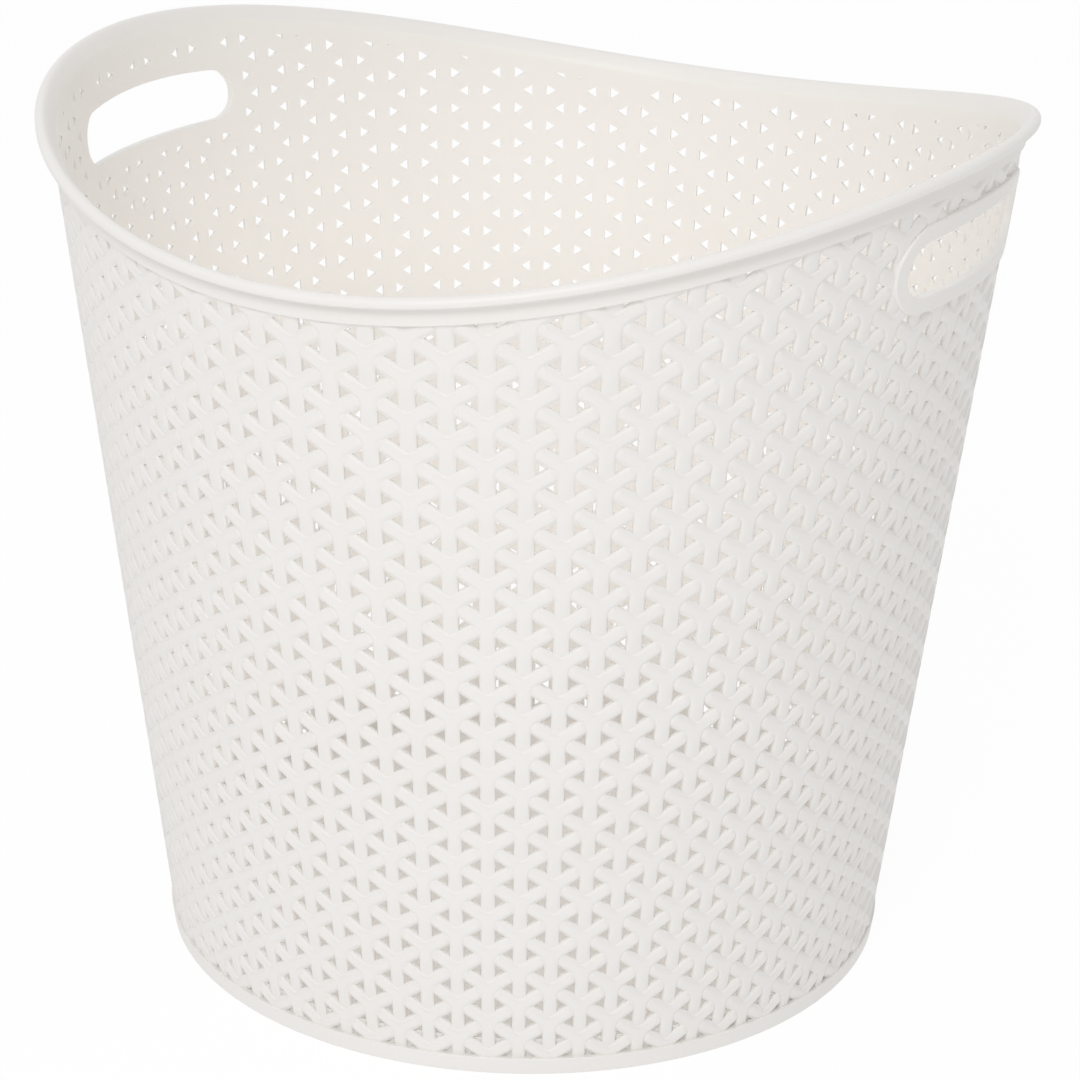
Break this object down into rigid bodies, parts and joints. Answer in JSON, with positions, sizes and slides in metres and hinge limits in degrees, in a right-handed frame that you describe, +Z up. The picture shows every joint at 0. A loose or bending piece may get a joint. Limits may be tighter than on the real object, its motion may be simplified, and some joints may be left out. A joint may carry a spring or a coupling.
{
  "type": "laundry basket",
  "caption": "Round tapered laundry basket in pale moulded plastic, with a wavy rim that rises to two opposite framed hand slots, for carrying clothes.",
  "frame": {"origin": "centre of the basket's footprint, on the surface it stands on", "axes": "+Z up along the basket's axis; +X through the middle of one hand slot, with the other on -X; the rim dips lowest at +Y and -Y"},
  "size_m": [0.3934, 0.385, 0.3616],
  "materials": {
    "polypropylene": "warm white moulded polypropylene with a soft satin sheen"
  },
  "bodies": {
    "root": {"foot_ring": "polypropylene", "floor_panel": "polypropylene", "wall_right": "polypropylene", "wall_back": "polypropylene", "wall_left": "polypropylene", "wall_front": "polypropylene", "grip_frame_right": "polypropylene", "grip_frame_left": "polypropylene", "rim_band": "polypropylene", "rim_lip": "polypropylene"}
  },
  "joints": []
}
